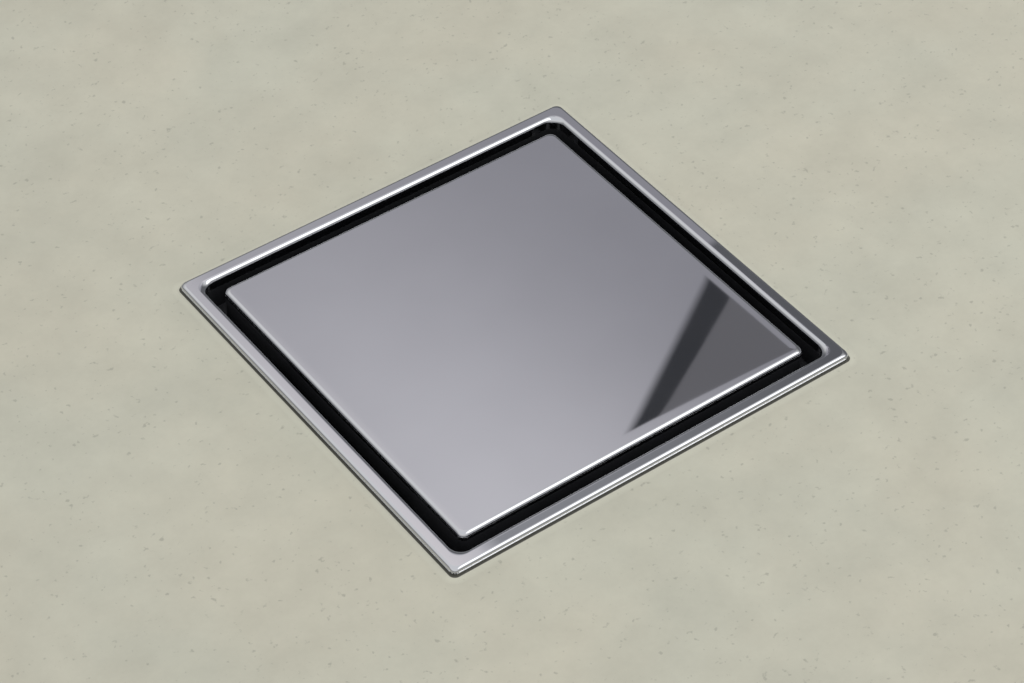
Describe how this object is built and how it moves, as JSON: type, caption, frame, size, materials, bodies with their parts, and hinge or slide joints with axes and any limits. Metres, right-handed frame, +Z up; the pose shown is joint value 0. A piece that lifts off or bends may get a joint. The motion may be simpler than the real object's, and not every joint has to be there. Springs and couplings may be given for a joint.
{
  "type": "tile insert floor drain",
  "caption": "Square stainless floor drain with a reversible cover plate, slots all round, a turning height-adjustable well and a lift-out float trap over a straight-down outlet.",
  "frame": {"origin": "centre of the outlet spigot's lower end", "axes": "+Z up along the outlet, neck and trap, X and Y square to the sides of the frame"},
  "size_m": [0.176, 0.176, 0.165],
  "materials": {
    "polished_stainless": "mirror-polished 304 stainless sheet",
    "satin_stainless": "satin stainless, pressed and turned pieces",
    "black_abs": "black moulded ABS",
    "grey_pp": "mid-grey moulded polypropylene",
    "white_pp": "natural white moulded polypropylene",
    "black_rubber": "black EPDM rubber",
    "brass": "turned brass"
  },
  "bodies": {
    "body": {"outlet_bowl": "black_abs", "seal_collar": "black_abs", "clamp_flange": "black_abs", "neck_seal": "black_rubber", "flange_gasket": "black_rubber", "clamp_ring": "satin_stainless", "clamp_washers": "satin_stainless", "clamp_screws": "satin_stainless", "clamp_inserts": "brass", "cup_seal": "black_rubber", "trap_cup": "grey_pp", "cup_hanger": "grey_pp", "trap_riser": "grey_pp", "trap_bridge": "grey_pp", "guide_pin": "satin_stainless", "hair_sieve": "satin_stainless", "sieve_knob": "black_abs"},
    "bell": {"trap_bell": "white_pp", "guide_socket": "white_pp", "bell_washer": "black_rubber", "washer_retainer": "satin_stainless"},
    "neck": {"extension_neck": "grey_pp"},
    "top": {"frame_well": "black_abs", "spigot_seal": "black_rubber", "top_frame": "polished_stainless", "corner_shelves": "black_abs", "frame_screws": "satin_stainless", "rest_pads": "black_rubber", "cover_plate": "polished_stainless", "plate_carrier": "black_abs"}
  },
  "joints": [
    {"name": "height_adjust", "type": "slide", "parent": "body", "child": "neck", "axis": [0, 0, 1], "range_m": [-0.01, 0.025]},
    {"name": "frame_swivel", "type": "hinge", "parent": "neck", "child": "top", "pos_m": [0, 0, 0.134], "axis": [0, 0, 1], "continuous": true},
    {"name": "bell_float", "type": "slide", "parent": "body", "child": "bell", "axis": [0, 0, 1], "range_m": [0, 0.008]}
  ]
}
